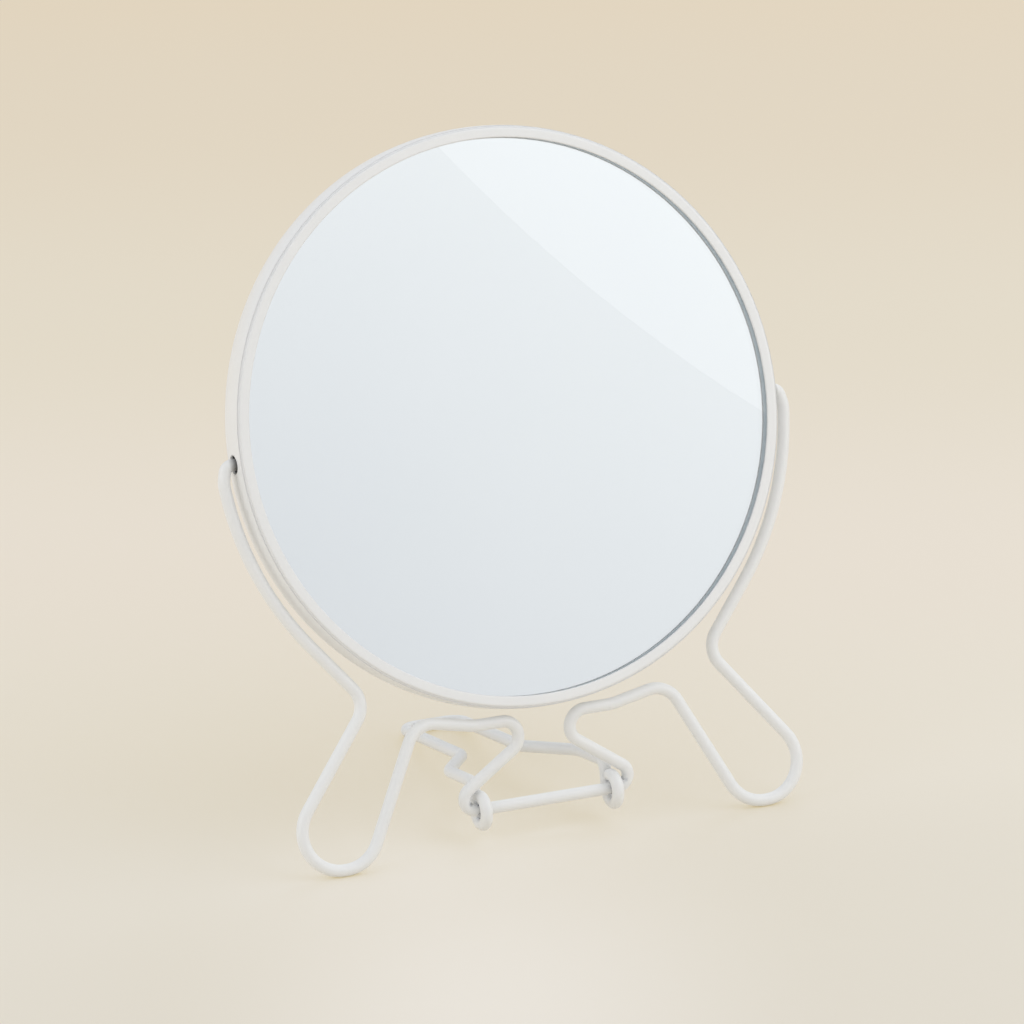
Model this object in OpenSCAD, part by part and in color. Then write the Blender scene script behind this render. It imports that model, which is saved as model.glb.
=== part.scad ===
// Round makeup mirror on a bent-wire stand, in millimetres.
// The mirror disc turns between the two ends of one long bent wire, and a second wire
// hooks round that wire's cross-bar as a rear leg.
// X runs along the pivots, Y to the back and Z up. Z = 0 is the table.

/* [Mirror disc] */
// Outer diameter of the rim
rim_d = 170; // [150:1:210]
// Depth of the rim from its front face to its rear face
rim_depth = 12; // [9:0.1:15]
// Thickness of the rolled sheet
sheet_t = 0.8; // [0.5:0.05:1]
// Height of the crown of the rim's wall
wall_crown = 0.3; // [0.1:0.05:0.6]
// Width of the lip over the glass
lip_w = 3.9; // [3:0.1:6]
// Outer radius of the roll from the wall to the lip
roll_r = 1.3; // [1.2:0.1:2]
// Radius of the bead line rolled in round each lip
bead_line_r = 0.35; // [0.2:0.05:0.4]
// Angle of the bead line round the roll, from the wall towards the lip
bead_line_angle = 40; // [20:1:60]
// Thickness of each glass
glass_t = 2; // [1.6:0.1:2.4]
// Radius of curvature of the magnifying rear glass
magnifier_r = 1250; // [1250:10:4000]
// Gap between the edge of the glass and the rim wall
glass_gap = 1.4; // [1.2:0.1:2]
// Radial width of the spacer between the two glasses
spacer_w = 4; // [3:0.5:10]
// Gap between the spacer and each glass
spacer_gap = 0.05; // [0.02:0.01:0.3]
// Gap between each glass and its lip
seat_gap = 0.05; // [0.02:0.01:0.2]
// Angle of the rim's seam above the right-hand pivot side
seam_angle = 8; // [7:1:60]
// Width of the seam
seam_w = 0.25; // [0.1:0.05:0.5]
// Distance of the seam's ends from the edges of the wall
seam_end = 0.3; // [0.2:0.1:1]
// Depth and radius of the dent that grinding leaves along the seam
seam_dent = 0.3; // [0.1:0.05:0.5]
seam_dent_r = 4; // [2:0.5:10]
// Angle that the splice plate covers on each side of the seam
splice_half_angle = 4; // [3:0.5:8]
// Gap between the splice plate and the rim wall
splice_gap = 0.05; // [0.02:0.01:0.1]

/* [Pivots] */
// Distance of the pivots below the middle of the disc
pivot_drop = 2.8; // [0.4:0.1:4]
// Clearance between the wire and the holes in the rim wall
hole_clearance = 1; // [0.4:0.1:1.4]
// Running clearance between the wire and the bore of a bush
pivot_clearance = 0.06; // [0.02:0.01:0.1]
// Angle of the rim that a bush covers on each side of its middle
bush_half_angle = 3.4; // [2.6:0.1:4]
// Gap between a bush and the rim wall
bush_fit = 0.05; // [0.02:0.01:0.1]
// Gap between a bush and the edges of the two glasses
bush_glass_gap = 0.1; // [0.05:0.05:0.3]
// Gap between the tip of a pin and the edges of the two glasses
pin_end_gap = 0.3; // [0.2:0.1:0.6]

/* [Front wire] */
// Diameter of both wires
wire_d = 3.6; // [3:0.1:4.4]
// Angle that the stand leans back
lean = 18.1; // [12:0.1:22]
// Gap between the rim and the wire beside it
yoke_gap = 3; // [2.6:0.1:6]
// Angles below the pivots where the round of the yoke starts and ends
yoke_start = 8; // [7:0.5:12]
yoke_end = 39; // [34:0.5:42]
// Straight run from the round of the yoke to the ankle, to the corner point
ankle_run = 25.2; // [22:0.1:34]
// Bend radius at the ankle
ankle_r = 7.4; // [6:0.1:10]
// Slope of a foot's outer side, from the level
outer_slope = 51.8; // [47:0.1:56]
// Slope of a foot's inner side, from the level
inner_slope = 63.3; // [59:0.1:68]
// Distance between the corner points of a foot at the bottom
foot_w = 31.2; // [28:0.1:40]
// Bend radius of a foot
foot_r = 11.4; // [8:0.1:13]
// Height from the bottom of a foot to the top run
foot_h = 35.3; // [30:0.1:48]
// Gap between the lowest point of the rim and the top run
top_run_gap = 0.8; // [0.7:0.1:6]
// Rise of the top run at its outer end
top_run_rise = 3.6; // [2:0.1:5]
// Bend radius at the outer end of the top run
knee_r = 8.2; // [5:0.1:10]
// Distance from the middle of the stand to the wave in the top run
wave_x = 22; // [20:0.1:28]
// Bend radius of the wave in the top run
wave_r = 15.5; // [6:0.5:20]
// Distance from the middle of the stand to the middle of a curl
curl_x = 13.2; // [11:0.1:16]
// Bend radius of a curl
curl_r = 5; // [4:0.05:5.5]
// Slope of the runs from the curls to the cross-bar
diagonal_slope = 34.8; // [33:0.1:39]
// Distance from the top run down to the cross-bar
tab_h = 25.5; // [24:0.1:31]
// Angle that the tab with the cross-bar is bent back from the front wire
tab_bend = 12.3; // [0:0.1:15]
// Bend radius at the ends of the cross-bar
corner_r = 3.6; // [3.2:0.1:4.4]

/* [Pin ends of the front wire] */
// Gap between the rim and the back of a pin's bend, to its corner point
pin_gap = 0.6; // [0.4:0.1:1.5]
// Bend radius at a pin
pin_r = 2.6; // [2.4:0.1:3.2]
// Distance of the shoulder below a pin
shoulder_drop = 5; // [4.5:0.1:7]
// Gap between the rim and the wire at the shoulder, to its corner point
shoulder_gap = 1.9; // [1.6:0.1:3]
// Bend radius of the shoulder
shoulder_r = 8; // [4:0.5:10]

/* [Rear leg] */
// Reach of the leg from the cross-bar to the middle of its foot bar
leg_reach = 88.8; // [75:0.1:110]
// Height of the leg's arms over the cross-bar
arm_h = 7.4; // [7:0.1:9]
// Distance along the leg to its shoulders
shoulder_at = 23.3; // [18:0.1:30]
// Distance along the leg to its neck
neck_at = 40.7; // [36:0.1:50]
// Half of the distance between the neck's two arms
neck_half = 9.5; // [8:0.1:12]
// Bend radius of the shoulders and the neck
neck_r = 7; // [4:0.5:10]
// Bend radius at the ends of the foot bar
leg_foot_r = 5; // [4:0.5:6]
// Play of an eye round the cross-bar
eye_play = 0.6; // [0.4:0.05:0.9]
// Distance of an eye's middle below the middle of the cross-bar
eye_drop = 0.3; // [0.1:0.05:0.3]
// Gap between an eye and the run of wire above it
eye_gap = 0.6; // [0.4:0.1:2]
// Angle left open between the end of an eye and its own arm
eye_open = 68; // [66:1:110]
// Bend radius from an eye into its arm
arm_bend_r = 3.2; // [2.4:0.1:3.6]

/* [Hidden] */
$fn = 48;

// A bend swells by this much, and each straight run enters its bends by this much
swell = 0.02;
lap = 0.2;
// The rings of the disc are drawn this finely
disc_fn = 180;

rim_r = rim_d / 2;
half_depth = rim_depth / 2;
wire_r = wire_d / 2;

// The wall is widest in the middle, and its inner face is this far out at its edges
edge_r = rim_r - wall_crown;
wall_r = edge_r - sheet_t;
wall_half = half_depth - roll_r;
crown_r = (wall_half * wall_half + wall_crown * wall_crown) / (2 * wall_crown);
glass_r = wall_r - glass_gap;
lip_z = half_depth - sheet_t;
glass_z = lip_z - seat_gap;

// A bush lies between the wall and the edges of the glasses
bush_out = wall_r - bush_fit;
bush_in = glass_r + bush_glass_gap;
bore_r = wire_r + pivot_clearance;
hole_r = wire_r + hole_clearance;
pin_tip = glass_r + pin_end_gap;

// Heights in the plane of the front wire, from the middle of the disc
top_run = -(rim_r + top_run_gap + wire_r);
foot_low = top_run - foot_h;

// Where the disc's middle and the two joints lie
disc_z = wire_r - foot_low * cos(lean);
bar_up = top_run - tab_h * cos(tab_bend);
bar_back = tab_h * sin(tab_bend);
foot_y = foot_low * sin(lean);
bar_y = bar_up * sin(lean) + bar_back * cos(lean);
bar_z = disc_z + bar_up * cos(lean) - bar_back * sin(lean);

// The leg slopes down until its foot bar lies on the table
leg_span = norm([leg_reach, arm_h]);
leg_slope = atan2(arm_h, leg_reach) + asin((bar_z - wire_r) / leg_span);
leg_end_y = bar_y + leg_reach * cos(leg_slope) + arm_h * sin(leg_slope);

// The origin is at the middle of the base
disc_y = -(foot_y + leg_end_y) / 2;
pivot_pos = [0, disc_y - pivot_drop * sin(lean), disc_z - pivot_drop * cos(lean)];
bar_pos = [0, bar_y + disc_y, bar_z];
echo(pivot = pivot_pos, bar = bar_pos, leg_slope = leg_slope);

// Corner points of the front wire's right half, across and up from the middle of the disc
yoke_r = rim_r + yoke_gap + wire_r;
yoke_mid = (yoke_start + yoke_end) / 2;
yoke_corner = yoke_r / cos((yoke_end - yoke_start) / 2) * [cos(yoke_mid), -sin(yoke_mid)];
ankle = yoke_r * [cos(yoke_end), -sin(yoke_end)] - ankle_run * [sin(yoke_end), cos(yoke_end)];
foot_out = [ankle[0] + (ankle[1] - foot_low) / tan(outer_slope), foot_low];
foot_in = [foot_out[0] - foot_w, foot_low];
knee_up = top_run + top_run_rise;
knee = [foot_in[0] - (knee_up - foot_low) / tan(inner_slope), knee_up];
wave = [wave_x, top_run];
pin_corner = [rim_r + pin_gap + wire_r, -pivot_drop];
shoulder = [rim_r + shoulder_gap + wire_r, -pivot_drop - shoulder_drop];

// A foot's two bends share the run between its corner points
foot_bend = min(foot_r, (foot_w - 2 * lap) / (tan(90 - outer_slope / 2) + tan(inner_slope / 2)));

// Corner points of the tab, across and down from the top run
tab_turn = 180 - diagonal_slope;
curl_corner = [curl_x - curl_r * tan(tab_turn / 2), 0];
bar_corner = [curl_corner[0] + tab_h / tan(diagonal_slope), tab_h];

// The eyes stand in from the diagonals, which rise towards the middle
eye_r = wire_d + eye_play;
eye_x = bar_corner[0] - ((wire_d + eye_gap) / cos(diagonal_slope) + eye_r - eye_drop) / tan(diagonal_slope);

function unit(v) = v / norm(v);
function xyz(p) = [p[0], p[1], p[2]];
function turn_at(path, i) =
    acos(unit(xyz(path[i]) - xyz(path[i - 1])) * unit(xyz(path[i + 1]) - xyz(path[i])));
function trim_at(path, i) =
    i == 0 || i == len(path) - 1 ? 0 : path[i][3] * tan(turn_at(path, i) / 2) - lap;
function in_plane(p, r) = [p[0], 0, p[1], r];
function in_tab(p, r) = [p[0], p[1] * sin(tab_bend), top_run - p[1] * cos(tab_bend), r];
function other_side(path) = [for (i = [len(path) - 1 : -1 : 0]) [-path[i][0], path[i][1], path[i][2], path[i][3]]];

// A straight run of wire
module straight(from, to) {
    d = to - from;
    translate(from)
        rotate([0, acos(d[2] / norm(d)), atan2(d[1], d[0])])
            cylinder(d = wire_d, h = norm(d));
}

// A bend of radius r at a corner point, from direction u to direction v
module bend(corner, u, v, r) {
    turn = acos(u * v);
    inward = unit(v - (u * v) * u);
    middle = corner - u * r * tan(turn / 2) + inward * r;
    side = cross(-inward, u);
    multmatrix([
        [-inward[0], u[0], side[0], middle[0]],
        [-inward[1], u[1], side[1], middle[1]],
        [-inward[2], u[2], side[2], middle[2]]
    ])
        rotate_extrude(angle = turn) translate([r, 0]) circle(d = wire_d + swell);
}

// A wire along corner points, each [x, y, z, bend radius]
module wire(path) {
    last = len(path) - 1;
    for (i = [0 : last - 1]) {
        u = unit(xyz(path[i + 1]) - xyz(path[i]));
        straight(xyz(path[i]) + u * trim_at(path, i), xyz(path[i + 1]) - u * trim_at(path, i + 1));
    }
    for (i = [1 : last - 1])
        bend(xyz(path[i]), unit(xyz(path[i]) - xyz(path[i - 1])), unit(xyz(path[i + 1]) - xyz(path[i])), path[i][3]);
}

// Puts children drawn round the middle of the disc where the disc stands
module at_disc() {
    translate([0, disc_y, disc_z]) rotate([-lean, 0, 0]) children();
}

// Turns a body of revolution so that its axis runs to the back
module facing() {
    rotate([-90, 0, 0]) children();
}

// Drawn for the right-hand side, or mirrored for the left-hand side
module on_side(side) {
    if (side > 0) children();
    else mirror([1, 0, 0]) children();
}

module stand_frame() {
    right = [
        in_tab(bar_corner, corner_r),
        in_tab(curl_corner, curl_r),
        in_plane(wave, wave_r),
        in_plane(knee, knee_r),
        in_plane(foot_in, foot_bend),
        in_plane(foot_out, foot_bend),
        in_plane(ankle, ankle_r),
        in_plane(yoke_corner, yoke_r),
        in_plane(shoulder, shoulder_r),
        in_plane(pin_corner, pin_r),
        in_plane([pin_tip, -pivot_drop], 0)
    ];
    color("ivory") at_disc() wire(concat(other_side(right), right));
}

// One eye of the rear leg, open at its top, drawn round its own middle
module eye() {
    rotate([90, 0, 90])
        rotate([0, 0, eye_open - 360])
            rotate_extrude(angle = 360 - eye_open) translate([eye_r, 0]) circle(d = wire_d + swell);
}

module rear_leg() {
    right = [
        [neck_half, leg_reach, arm_h, leg_foot_r],
        [neck_half, neck_at, arm_h, neck_r],
        [eye_x, shoulder_at, arm_h, neck_r],
        [eye_x, eye_r, arm_h, arm_bend_r],
        [eye_x, eye_r, -eye_drop - lap, 0]
    ];
    color("ivory")
        translate(bar_pos)
            rotate([-leg_slope, 0, 0]) {
                wire(concat(other_side(right), right));
                for (x = [-eye_x, eye_x]) translate([x, 0, -eye_drop]) eye();
            }
}

// Half of the rim's section: radius across, depth up
module rim_half_section() {
    roll = [edge_r - roll_r, wall_half];
    lip_end = rim_r - lip_w + sheet_t / 2;
    difference() {
        union() {
            intersection() {
                translate([rim_r - crown_r, 0]) difference() {
                    circle(r = crown_r);
                    circle(r = norm([wall_r - rim_r + crown_r, wall_half]));
                }
                translate([wall_r - 1, -0.01]) square([lip_w, wall_half + 0.01]);
            }
            intersection() {
                translate(roll) difference() {
                    circle(r = roll_r);
                    circle(r = roll_r - sheet_t);
                }
                translate(roll) square(roll_r + 1);
            }
            translate([lip_end, lip_z]) square([roll[0] - lip_end, sheet_t]);
            translate([lip_end, half_depth - sheet_t / 2]) circle(d = sheet_t);
        }
        translate(roll + roll_r * [cos(bead_line_angle), sin(bead_line_angle)]) circle(r = bead_line_r);
    }
}

module rim() {
    color("ivory") at_disc() difference() {
        facing() rotate_extrude($fn = disc_fn) {
            rim_half_section();
            mirror([0, 1]) rim_half_section();
        }
        for (side = [-1, 1])
            translate([side * rim_r, 0, -pivot_drop])
                rotate([0, 90, 0]) cylinder(r = hole_r, h = 6, center = true);
        rotate([0, -seam_angle, 0]) {
            translate([wall_r - 0.5, seam_end - wall_half, -seam_w / 2])
                cube([3, 2 * (wall_half - seam_end), seam_w]);
            translate([rim_r - seam_dent + seam_dent_r, 0, 0])
                rotate([90, 0, 0]) cylinder(r = seam_dent_r, h = rim_depth + 2, center = true);
        }
    }
}

module rim_splice() {
    color("silver") at_disc() facing()
        rotate([0, 0, -seam_angle - splice_half_angle])
            rotate_extrude(angle = 2 * splice_half_angle, $fn = disc_fn)
                translate([wall_r - splice_gap - sheet_t, -wall_half])
                    square([sheet_t, 2 * wall_half]);
}

module front_mirror() {
    color("lightblue") at_disc() facing()
        translate([0, 0, -glass_z]) cylinder(r = glass_r, h = glass_t, $fn = disc_fn);
}

// Section of the region behind a shallow bowl whose edge lies at the given depth
module behind_bowl(edge_z) {
    sag_middle = edge_z + sqrt(magnifier_r * magnifier_r - glass_r * glass_r);
    translate([0, sag_middle]) circle(r = magnifier_r, $fn = 2880);
}

module rear_mirror() {
    color("lightblue") at_disc() facing()
        rotate_extrude($fn = disc_fn)
            intersection() {
                translate([0, -half_depth]) square([glass_r, 2 * half_depth]);
                difference() {
                    behind_bowl(glass_z - glass_t);
                    behind_bowl(glass_z);
                }
            }
}

module spacer_ring() {
    outer = glass_r - 0.5;
    inner = outer - spacer_w;
    bowl_at_inner = sqrt(magnifier_r * magnifier_r - inner * inner) - sqrt(magnifier_r * magnifier_r - glass_r * glass_r);
    top = glass_z - glass_t - bowl_at_inner - spacer_gap;
    bottom = -glass_z + glass_t + spacer_gap;
    color("gray") at_disc() facing()
        translate([0, 0, bottom])
            difference() {
                cylinder(r = outer, h = top - bottom, $fn = disc_fn);
                translate([0, 0, -1]) cylinder(r = inner, h = top - bottom + 2, $fn = disc_fn);
            }
}

// A block behind the rim wall, with the bore that a pin turns in
module pivot_bush(side) {
    color("dimgray") at_disc() on_side(side) difference() {
        facing()
            rotate([0, 0, asin(pivot_drop / bush_out) - bush_half_angle])
                rotate_extrude(angle = 2 * bush_half_angle, $fn = disc_fn)
                    translate([bush_in, -wall_half]) square([bush_out - bush_in, 2 * wall_half]);
        translate([glass_r, 0, -pivot_drop])
            rotate([0, 90, 0]) cylinder(r = bore_r, h = 6, center = true);
    }
}

module left_pivot_bush() { pivot_bush(-1); }
module right_pivot_bush() { pivot_bush(1); }

stand_frame();
rear_leg();
rim();
rim_splice();
front_mirror();
rear_mirror();
spacer_ring();
left_pivot_bush();
right_pivot_bush();
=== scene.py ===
import math

import bpy
from mathutils import Euler, Matrix, Vector


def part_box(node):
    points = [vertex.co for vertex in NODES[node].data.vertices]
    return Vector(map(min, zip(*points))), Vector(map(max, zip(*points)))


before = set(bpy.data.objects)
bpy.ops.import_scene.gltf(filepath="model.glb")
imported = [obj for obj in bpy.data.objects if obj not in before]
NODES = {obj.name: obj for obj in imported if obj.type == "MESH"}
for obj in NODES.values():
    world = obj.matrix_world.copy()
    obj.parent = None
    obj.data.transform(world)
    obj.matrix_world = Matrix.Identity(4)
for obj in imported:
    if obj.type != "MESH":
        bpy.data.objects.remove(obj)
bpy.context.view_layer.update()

SCENE = bpy.context.scene
UP = Vector((0, 0, 1))

# The camera's place from the middle of the disc, in metres, and its aim in degrees
CAMERA_FROM_DISC = Vector((-0.6714, -1.5637, 0.5673))
CAMERA_YAW = 23.30
CAMERA_PITCH = 19.32
CAMERA_ROLL = -0.23
# Its focal length and picture in pixels, its sensor in millimetres and its reach in metres
FOCAL_PIXELS = 6162
PICTURE = 1024
SENSOR = 36.0
SEES_FROM = 0.05
SEES_TO = 60

# The camera's own directions on the floor
AWAY = Vector((math.sin(math.radians(CAMERA_YAW)), math.cos(math.radians(CAMERA_YAW)), 0))
RIGHT = Vector((AWAY.y, -AWAY.x, 0))

# Lamps: name, metres to the right, away and up, height aimed at, width of the disc and watts
LAMPS = (
    ("key", (1.25, -0.35, 0.9), 0.08, 1.6, 6.0),
    ("fill", (-1.3, -0.5, 0.7), 0.10, 1.3, 4.5),
    ("back", (0.35, 1.2, 1.2), 0.05, 1.0, 2.5),
)

# What surfaces are lit by, and the two ends of the wall that reflections see
WORLD_LIGHT = (0.74, 0.75, 0.76)
WALL_LOW = (0.70, 0.717, 0.748)
WALL_HIGH = (0.96, 0.98, 1.0)
# The sum of a direction's X and Z at which the wall starts to climb and has climbed
WALL_START = 0.53
WALL_END = 0.70

# Half the floor's side in metres, and its colour by the distance behind the object in metres, with
# painted fall-off of light: brightest just behind the object, darker in front and far off
FLOOR_HALF = 20.0
FLOOR_NEAR = -0.25
FLOOR_FAR = 1.05
FLOOR_COLOURS = (
    (-0.25, (0.76, 0.715, 0.63)),
    (-0.08, (0.775, 0.73, 0.64)),
    (0.05, (0.81, 0.76, 0.665)),
    (0.20, (0.815, 0.75, 0.655)),
    (0.45, (0.785, 0.72, 0.60)),
    (0.75, (0.775, 0.69, 0.558)),
    (1.00, (0.785, 0.685, 0.54)),
)
# The painted pool of the light that the mirror throws onto the floor in front of the object: its place,
# its half sizes and its colour
LIGHT_POOL_AT = -0.14
LIGHT_POOL_WIDE = 0.10
LIGHT_POOL_DEEP = 0.22
LIGHT_POOL_COLOUR = (0.845, 0.805, 0.74)
# How much of the floor's own colour shows through its shadows, and the share that they darken
FLOOR_SHOWS = (0.58, 0.48, 0.22)
FLOOR_SHADED = tuple(1 - share for share in FLOOR_SHOWS)
# What the floor throws back onto the object
FLOOR_BOUNCE = (0.86, 0.79, 0.67)

# The two shades of each finish, which noise mixes
WIRE_SHADES = ((0.82, 0.825, 0.825), (0.81, 0.815, 0.815))
RIM_SHADES = ((0.83, 0.835, 0.84), (0.82, 0.825, 0.83))
GLASS_SHADES = ((0.985, 1.0, 0.995), (0.98, 0.997, 0.99))
SILVER_SHADES = ((0.93, 0.94, 0.945), (0.92, 0.932, 0.94))
STEEL_SHADES = ((0.45, 0.45, 0.44), (0.38, 0.38, 0.37))
BOARD_SHADES = ((0.30, 0.28, 0.25), (0.24, 0.22, 0.20))
NYLON_SHADES = ((0.06, 0.06, 0.06), (0.045, 0.045, 0.045))
BARE_SHADES = ((0.66, 0.68, 0.71), (0.50, 0.51, 0.53))
# Painted shadow of the rim's hole round the pivot pin
PIN_HOLE_SHADOW_SHADES = ((0.07, 0.065, 0.06), (0.13, 0.125, 0.12))

# A faint glow under the lips, in place of the light that real glass lets in there
LIP_GLOW_SHADES = ((0.75, 0.85, 0.92), (0.65, 0.75, 0.82))
LIP_GLOW = 0.3

# The paint's orange peel and the finer grain on it: noise scale, depth in metres and strength
PEEL = (700, 0.00006, 0.35)
FINE_PEEL = (2600, 0.00002, 0.25)
# Radius by which its sharp edges shade as rounded, in metres
SOFT_EDGE = 0.0004
# Noise scale, bump depth in metres and strength of the plain finishes
GRAIN = 600
GRAIN_DEPTH = 0.00003
GRAIN_STRENGTH = 0.4

# Places on the right half of the object, which the left half repeats, in metres: the middle of
# the leg's eye, the top of the cross-bar beside it, and where the pivot pin enters the rim
EYE = (0.0210, -0.0402, 0.0100)
EYE_CORNER = (0.0245, -0.0402, 0.0125)
PIN_ROOT = (0.0842, -0.0117, 0.1160)
# What is worn there, or darkened with painted shadow of the rim's hole where the pin enters it, and how
# far round each place
WORN_ON_STAND = ((EYE, 0.0045), (EYE_CORNER, 0.0028))
WORN_ON_LEG = ((EYE, 0.0060),)
# Painted shadow where the pin enters the rim's hole, and how dark it is painted
PIN_HOLE_SHADOW_ON_STAND = ((PIN_ROOT, 0.003),)
PIN_HOLE_SHADOW_COVER = 0.9

# Radius of the hollow glass, in metres
BOWL_RADIUS = 1.25
# A face looks along an axis where its normal's share of that axis is above this
ALONG = 0.9


class Tree:
    """A node tree with short names for the calls that repeat."""

    def __init__(self, tree):
        self.tree = tree

    def add(self, kind, **settings):
        node = self.tree.nodes.new(kind)
        for key, value in settings.items():
            setattr(node, key, value)
        return node

    def feed(self, socket, value):
        """Link an output to a socket, or set the socket to a colour, point or number."""
        if isinstance(value, bpy.types.NodeSocket):
            self.tree.links.new(value, socket)
        elif socket.type == "RGBA":
            socket.default_value = (*value, 1)
        else:
            socket.default_value = value

    def coordinates(self, kind):
        return self.add("ShaderNodeTexCoord").outputs[kind]

    def split(self, vector):
        node = self.add("ShaderNodeSeparateXYZ")
        self.feed(node.inputs["Vector"], vector)
        return node.outputs

    def maths(self, operation, a, b=0.0):
        node = self.add("ShaderNodeMath", operation=operation)
        for socket, value in zip(node.inputs, (a, b)):
            self.feed(socket, value)
        return node.outputs["Value"]

    def spread(self, value, low, high, start=0.35, end=0.65):
        """Map start..end to low..high. Left out, they are the range in which noise mostly lies."""
        node = self.add("ShaderNodeMapRange")
        for name, number in (("From Min", start), ("From Max", end), ("To Min", low), ("To Max", high)):
            self.feed(node.inputs[name], number)
        self.feed(node.inputs["Value"], value)
        return node.outputs["Result"]

    def mix_colour(self, share, a, b, blend="MIX"):
        node = self.add("ShaderNodeMix", data_type="RGBA", blend_type=blend)
        for name, value in (("Factor", share), ("A", a), ("B", b)):
            self.feed(node.inputs[name], value)
        return node.outputs["Result"]

    def mix_shader(self, share, a, b):
        node = self.add("ShaderNodeMixShader")
        for socket, value in zip(node.inputs, (share, a, b)):
            self.feed(socket, value)
        return node.outputs["Shader"]

    def rays(self, first, *others):
        """1 for a light ray of one of the given kinds, and 0 for any other."""
        path = self.add("ShaderNodeLightPath").outputs
        found = path[first]
        for kind in others:
            found = self.maths("MAXIMUM", found, path[kind])
        return found


class Shader(Tree):
    """A new material, with its Principled shader as the main one."""

    def __init__(self, name):
        self.material = bpy.data.materials.new(name)
        self.material.use_nodes = True
        super().__init__(self.material.node_tree)
        self.out = self.tree.nodes["Material Output"]
        self.main = self.tree.nodes["Principled BSDF"]

    def drive(self, name, value):
        self.feed(self.main.inputs[name], value)

    def noise(self, scale, detail=2.0):
        node = self.add("ShaderNodeTexNoise")
        self.feed(node.inputs["Scale"], scale)
        self.feed(node.inputs["Detail"], detail)
        self.feed(node.inputs["Vector"], self.coordinates("Object"))
        return node.outputs["Fac"]

    def mottle(self, scale, shades):
        """Two shades, mixed by noise of the given scale."""
        return self.mix_colour(self.spread(self.noise(scale), 0, 1), *shades)

    def bump(self, height, depth, strength, under=None):
        node = self.add("ShaderNodeBump")
        self.feed(node.inputs["Strength"], strength)
        self.feed(node.inputs["Distance"], depth)
        self.feed(node.inputs["Height"], height)
        if under:
            self.feed(node.inputs["Normal"], under)
        return node.outputs["Normal"]

    def peel(self, scale, depth, strength, under):
        return self.bump(self.noise(scale, 1.0), depth, strength, under)

    def soft_edges(self, radius):
        node = self.add("ShaderNodeBevel", samples=6)
        self.feed(node.inputs["Radius"], radius)
        return node.outputs["Normal"]

    def folded(self):
        """The place on the object, with its left half folded onto its right half."""
        place = self.split(self.coordinates("Object"))
        node = self.add("ShaderNodeCombineXYZ")
        self.feed(node.inputs["X"], self.maths("ABSOLUTE", place["X"]))
        self.feed(node.inputs["Y"], place["Y"])
        self.feed(node.inputs["Z"], place["Z"])
        return node.outputs["Vector"]

    def near(self, point, inner, outer):
        """1 within `inner` of a point and 0 beyond `outer`, on both halves of the object."""
        node = self.add("ShaderNodeVectorMath", operation="DISTANCE")
        self.feed(node.inputs[0], self.folded())
        self.feed(node.inputs[1], point)
        return self.spread(node.outputs["Value"], 1, 0, inner, outer)

    def worn(self, point, reach):
        """1 on a patch with a ragged edge round a point."""
        ragged = self.spread(self.noise(500), -0.25, 0.25, 0.3, 0.7)
        return self.spread(self.maths("ADD", self.near(point, 0.0, reach), ragged), 0, 1, 0.50, 0.75)


def middle(node):
    low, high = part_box(node)
    return (low + high) / 2


def make_camera():
    data = bpy.data.cameras.new("camera")
    data.sensor_width = SENSOR
    data.lens = FOCAL_PIXELS / PICTURE * SENSOR
    data.clip_start = SEES_FROM
    data.clip_end = SEES_TO
    camera = bpy.data.objects.new("camera", data)
    SCENE.collection.objects.link(camera)
    aim = Euler((math.radians(90 - CAMERA_PITCH), 0, math.radians(-CAMERA_YAW))).to_matrix()
    camera.matrix_world = (aim @ Matrix.Rotation(math.radians(CAMERA_ROLL), 3, "Z")).to_4x4()
    camera.location = middle("rim") + CAMERA_FROM_DISC
    SCENE.camera = camera


def floor_colour(s):
    """The floor's colours by distance, with painted fall-off of light, and the painted pool of light
    over them.
    """
    turned = s.add("ShaderNodeMapping")
    s.feed(turned.inputs["Rotation"], (0, 0, math.radians(CAMERA_YAW)))
    s.feed(turned.inputs["Vector"], s.coordinates("Object"))
    distance_behind = s.split(turned.outputs["Vector"])["Y"]
    # Painted fall-off of light: the floor's colour darkens in front of and far behind the object
    ramp = s.add("ShaderNodeValToRGB")
    s.feed(ramp.inputs["Fac"], s.spread(distance_behind, 0, 1, FLOOR_NEAR, FLOOR_FAR))
    ramp.color_ramp.interpolation = "EASE"
    stops = ramp.color_ramp.elements
    while len(stops) < len(FLOOR_COLOURS):
        stops.new(0.5)
    for stop, (distance, colour) in zip(stops, FLOOR_COLOURS):
        stop.position = (distance - FLOOR_NEAR) / (FLOOR_FAR - FLOOR_NEAR)
        stop.color = (*colour, 1)

    # Painted pool of light in front of the object, where the mirror throws light down
    patch = s.add("ShaderNodeMapping")
    s.feed(patch.inputs["Scale"], (1 / LIGHT_POOL_WIDE, 1 / LIGHT_POOL_DEEP, 0))
    s.feed(patch.inputs["Location"], (0, -LIGHT_POOL_AT / LIGHT_POOL_DEEP, 0))
    s.feed(patch.inputs["Vector"], turned.outputs["Vector"])
    reach = s.add("ShaderNodeVectorMath", operation="LENGTH")
    s.feed(reach.inputs[0], patch.outputs["Vector"])
    fade = s.spread(reach.outputs["Value"], 1, 0, 0, 1)
    fade.node.interpolation_type = "SMOOTHSTEP"
    return s.mix_colour(fade, ramp.outputs["Color"], LIGHT_POOL_COLOUR)


def floor_as_seen(s):
    """The floor with part of its own colour showing through its shadows, which keeps them warm."""
    colour = floor_colour(s)
    glow = s.add("ShaderNodeEmission")
    s.feed(glow.inputs["Color"], s.mix_colour(1.0, colour, FLOOR_SHOWS, "MULTIPLY"))
    shaded = s.add("ShaderNodeBsdfDiffuse")
    s.feed(shaded.inputs["Color"], s.mix_colour(1.0, colour, FLOOR_SHADED, "MULTIPLY"))
    both = s.add("ShaderNodeAddShader")
    s.feed(both.inputs[0], glow.outputs["Emission"])
    s.feed(both.inputs[1], shaded.outputs["BSDF"])
    return both.outputs["Shader"]


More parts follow.
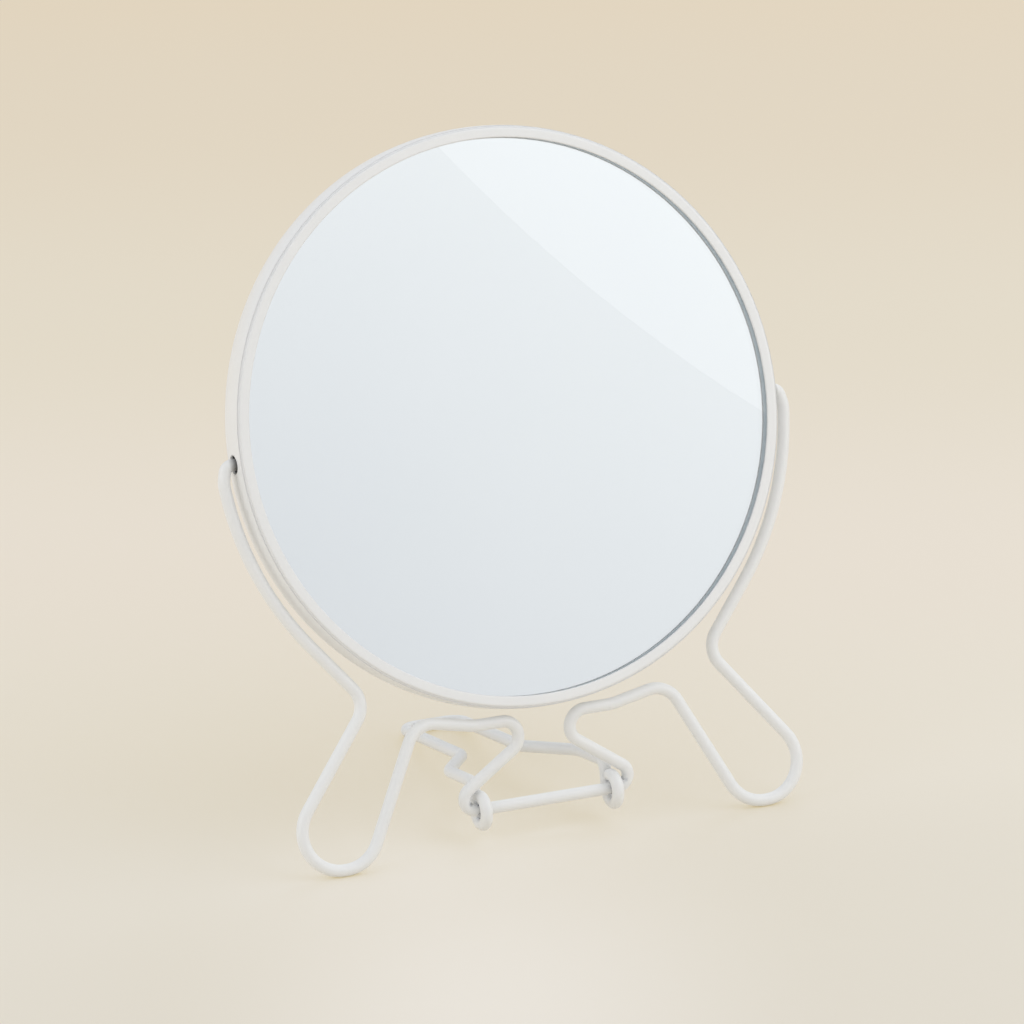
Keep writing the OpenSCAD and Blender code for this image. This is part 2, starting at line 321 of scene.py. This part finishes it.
def make_floor():
    """A floor that the camera, mirrors and glass see in its colours, and that bounces one colour."""
    mesh = bpy.data.meshes.new("floor")
    corners = [(x * FLOOR_HALF, y * FLOOR_HALF, 0) for x, y in ((-1, -1), (1, -1), (1, 1), (-1, 1))]
    mesh.from_pydata(corners, [], [(0, 1, 2, 3)])
    floor = bpy.data.objects.new("floor", mesh)
    SCENE.collection.objects.link(floor)
    s = Shader("floor")
    s.drive("Base Color", FLOOR_BOUNCE)
    s.drive("Roughness", s.spread(s.noise(500), 0.85, 0.95))
    s.drive("Specular IOR Level", 0.1)
    looking = s.rays("Is Camera Ray", "Is Glossy Ray", "Is Transmission Ray")
    s.feed(s.out.inputs["Surface"], s.mix_shader(looking, s.main.outputs["BSDF"], floor_as_seen(s)))
    mesh.materials.append(s.material)


def make_world():
    """Even light on surfaces; reflections see a cool wall that brightens up and to the right."""
    world = bpy.data.worlds.new("studio")
    world.use_nodes = True
    SCENE.world = world
    w = Tree(world.node_tree)
    even = w.tree.nodes["Background"]
    w.feed(even.inputs["Color"], WORLD_LIGHT)
    direction = w.split(w.coordinates("Generated"))
    climb = w.spread(w.maths("ADD", direction["X"], direction["Z"]), 0, 1, WALL_START, WALL_END)
    wall = w.add("ShaderNodeBackground")
    w.feed(wall.inputs["Color"], w.mix_colour(climb, WALL_LOW, WALL_HIGH))
    reflected = w.rays("Is Glossy Ray", "Is Transmission Ray")
    picked = w.mix_shader(reflected, even.outputs["Background"], wall.outputs["Background"])
    w.feed(w.tree.nodes["World Output"].inputs["Surface"], picked)


def make_lamp(name, place, aim_height, width, power):
    """A disc of soft light that neither the camera nor a view through glass shows."""
    data = bpy.data.lights.new(name, "AREA")
    data.shape = "DISK"
    data.size = width
    data.energy = power
    lamp = bpy.data.objects.new(name, data)
    SCENE.collection.objects.link(lamp)
    right, away, up = place
    lamp.location = RIGHT * right + AWAY * away + UP * up
    lamp.rotation_euler = (UP * aim_height - lamp.location).to_track_quat("-Z", "Y").to_euler()
    lamp.visible_camera = False
    lamp.visible_transmission = False


def paint(name, shades, worn=(), shadowed=()):
    """Thin gloss coat with orange peel, worn to the metal round some points and darkened with painted
    shadow round others.
    """
    s = Shader(name)
    colour = s.mottle(90, shades)
    rough = s.spread(s.noise(260), 0.30, 0.40)
    bare = None
    for point, reach in worn:
        patch = s.worn(point, reach)
        bare = s.maths("MAXIMUM", bare, patch) if bare else patch
    if bare:
        colour = s.mix_colour(bare, colour, s.mottle(900, BARE_SHADES))
        rough = s.maths("MULTIPLY", rough, s.spread(bare, 1, 0.7, 0, 1))
        s.drive("Metallic", bare)
    # Painted shadow of the rim's hole, round the points where the pin enters it
    for point, reach in shadowed:
        shadow_cover = s.maths("MULTIPLY", s.near(point, reach * 0.5, reach), PIN_HOLE_SHADOW_COVER)
        colour = s.mix_colour(shadow_cover, colour, s.mottle(800, PIN_HOLE_SHADOW_SHADES))
    s.drive("Base Color", colour)
    s.drive("Roughness", rough)
    s.drive("Normal", s.peel(*FINE_PEEL, s.peel(*PEEL, s.soft_edges(SOFT_EDGE))))
    s.drive("IOR", 1.5)
    return s


def glowing_paint(name, shades):
    s = paint(name, shades)
    s.drive("Emission Color", s.mottle(400, LIP_GLOW_SHADES))
    s.drive("Emission Strength", LIP_GLOW)
    return s


def clear_glass(name):
    s = Shader(name)
    s.drive("Base Color", s.mottle(20, GLASS_SHADES))
    s.drive("Roughness", s.spread(s.noise(35), 0.0, 0.004))
    s.drive("IOR", 1.52)
    s.drive("Transmission Weight", 1.0)
    return s


def silver_coat(name):
    s = Shader(name)
    s.drive("Base Color", s.mottle(14, SILVER_SHADES))
    s.drive("Roughness", s.spread(s.noise(30), 0.0, 0.012))
    s.drive("Metallic", 1.0)
    return s


def plain(name, shades, smoothest, roughest, metallic=0.0):
    """A fine-grained finish."""
    s = Shader(name)
    s.drive("Base Color", s.mottle(GRAIN, shades))
    s.drive("Roughness", s.spread(s.noise(GRAIN * 0.6), smoothest, roughest))
    s.drive("Normal", s.bump(s.noise(GRAIN * 2), GRAIN_DEPTH, GRAIN_STRENGTH))
    s.drive("Metallic", metallic)
    return s


def dress(node, *shaders):
    slots = NODES[node].data.materials
    slots.clear()
    for shader in shaders:
        slots.append(shader.material)


def dress_rim(outside, under_lips, disc_middle, axis):
    """The undersides of the two lips, which look at the glasses, carry a coat of their own with a faint
    painted glow, in place of the light that the glass lets in there.
    """
    dress("rim", outside, under_lips)
    for face in NODES["rim"].data.polygons:
        looks = face.normal.dot(axis)
        stands = (face.center - disc_middle).dot(axis)
        face.material_index = int(abs(looks) > ALONG and looks * stands < 0)


def dress_mirror(node, glass, silver, towards):
    """The face of a mirror that looks along `towards` carries the silver."""
    dress(node, glass, silver)
    for face in NODES[node].data.polygons:
        face.material_index = int(face.normal.dot(towards) > ALONG)


def bowl_normals(node, disc_middle, axis, radius):
    """The two faces of the hollow glass shade as one smooth bowl of the given radius."""
    mesh = NODES[node].data
    normals = [UP] * len(mesh.loops)
    for face in mesh.polygons:
        side = face.normal.dot(axis)
        for corner in face.loop_indices:
            if abs(side) < ALONG:
                normals[corner] = face.normal.copy()
                continue
            out = mesh.vertices[mesh.loops[corner].vertex_index].co - disc_middle
            bowl = (axis - (out - axis * out.dot(axis)) / radius).normalized()
            normals[corner] = bowl if side > 0 else -bowl
    mesh.normals_split_custom_set(normals)


def backwards():
    """The direction in which the back of the front glass looks."""
    normals = [face.normal.copy() for face in NODES["front_mirror"].data.polygons]
    return max(normals, key=lambda normal: normal.y)


make_camera()
make_floor()
make_world()
for lamp in LAMPS:
    make_lamp(*lamp)

disc_middle = middle("rim")
to_the_back = backwards()
dress("stand_frame", paint("wire_coat", WIRE_SHADES, WORN_ON_STAND, PIN_HOLE_SHADOW_ON_STAND))
dress("rear_leg", paint("leg_coat", WIRE_SHADES, WORN_ON_LEG))
rim_coat = paint("rim_coat", RIM_SHADES)
under_lip = glowing_paint("under_lip", RIM_SHADES)
dress_rim(rim_coat, under_lip, disc_middle, to_the_back)
glass = clear_glass("clear_glass")
silver = silver_coat("silver_coat")
dress_mirror("front_mirror", glass, silver, to_the_back)
dress_mirror("rear_mirror", glass, silver, -to_the_back)
bowl_normals("rear_mirror", disc_middle, to_the_back, BOWL_RADIUS)
dress("rim_splice", plain("splice_steel", STEEL_SHADES, 0.35, 0.5, metallic=1.0))
dress("spacer_ring", plain("spacer_board", BOARD_SHADES, 0.8, 0.95))
for bush in ("left_pivot_bush", "right_pivot_bush"):
    dress(bush, plain("bush_nylon", NYLON_SHADES, 0.4, 0.55))

SCENE.view_settings.view_transform = "Standard"
